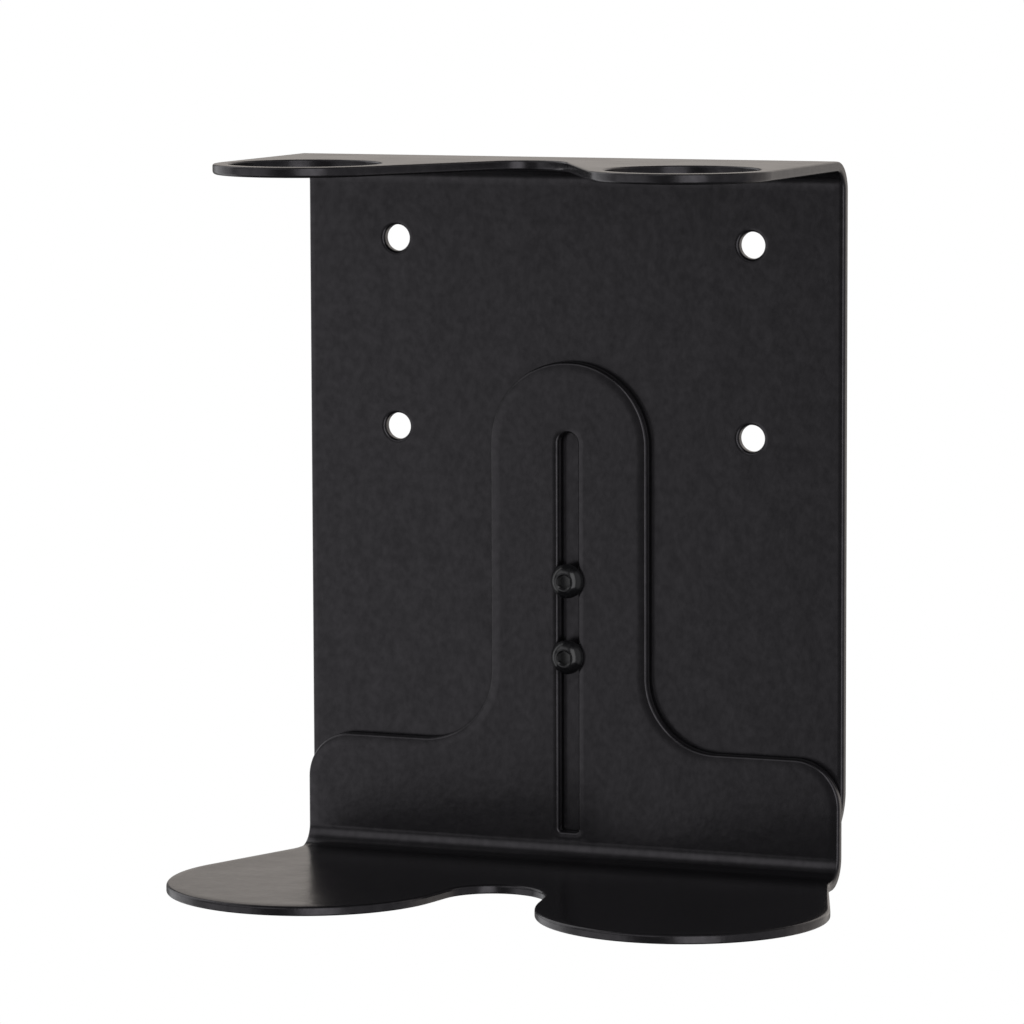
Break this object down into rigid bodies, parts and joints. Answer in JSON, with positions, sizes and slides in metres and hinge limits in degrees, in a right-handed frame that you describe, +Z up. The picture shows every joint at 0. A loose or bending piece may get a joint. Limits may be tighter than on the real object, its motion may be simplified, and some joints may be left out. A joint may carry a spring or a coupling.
{
  "type": "wall bottle holder",
  "caption": "Wall-mounted bottle holder of bent sheet steel: neck rings on a back plate, above a slotted shelf bracket with round rests that slides up and down and is clamped by socket screws.",
  "frame": {"origin": "on the wall face of the back plate, at the centre of its four mounting holes", "axes": "+X to the right seen from the front, +Y into the wall, +Z up"},
  "size_m": [0.207, 0.111, 0.2261],
  "materials": {
    "powder_coat": "black satin powder coat with a fine orange-peel texture",
    "black_screw": "black, semi-gloss",
    "zinc": "bright zinc plate"
  },
  "bodies": {
    "wall_plate": {"back_plate": "powder_coat", "flush_nut_upper": "zinc", "flush_nut_lower": "zinc"},
    "shelf": {"shelf_bracket": "powder_coat"},
    "upper_screw": {"clamp_screw_upper": "black_screw"},
    "lower_screw": {"clamp_screw_lower": "black_screw"}
  },
  "joints": [
    {"name": "shelf_height", "type": "slide", "parent": "wall_plate", "child": "shelf", "axis": [0, 0, 1], "range_m": [-0.042, 0.051]},
    {"name": "upper_screw_turn", "type": "hinge", "parent": "wall_plate", "child": "upper_screw", "pos_m": [0, -0.007, -0.07475], "axis": [0, -1, 0], "range_deg": [0, 360]},
    {"name": "lower_screw_turn", "type": "hinge", "parent": "wall_plate", "child": "lower_screw", "pos_m": [0, -0.007, -0.09825], "axis": [0, -1, 0], "range_deg": [0, 360]}
  ]
}
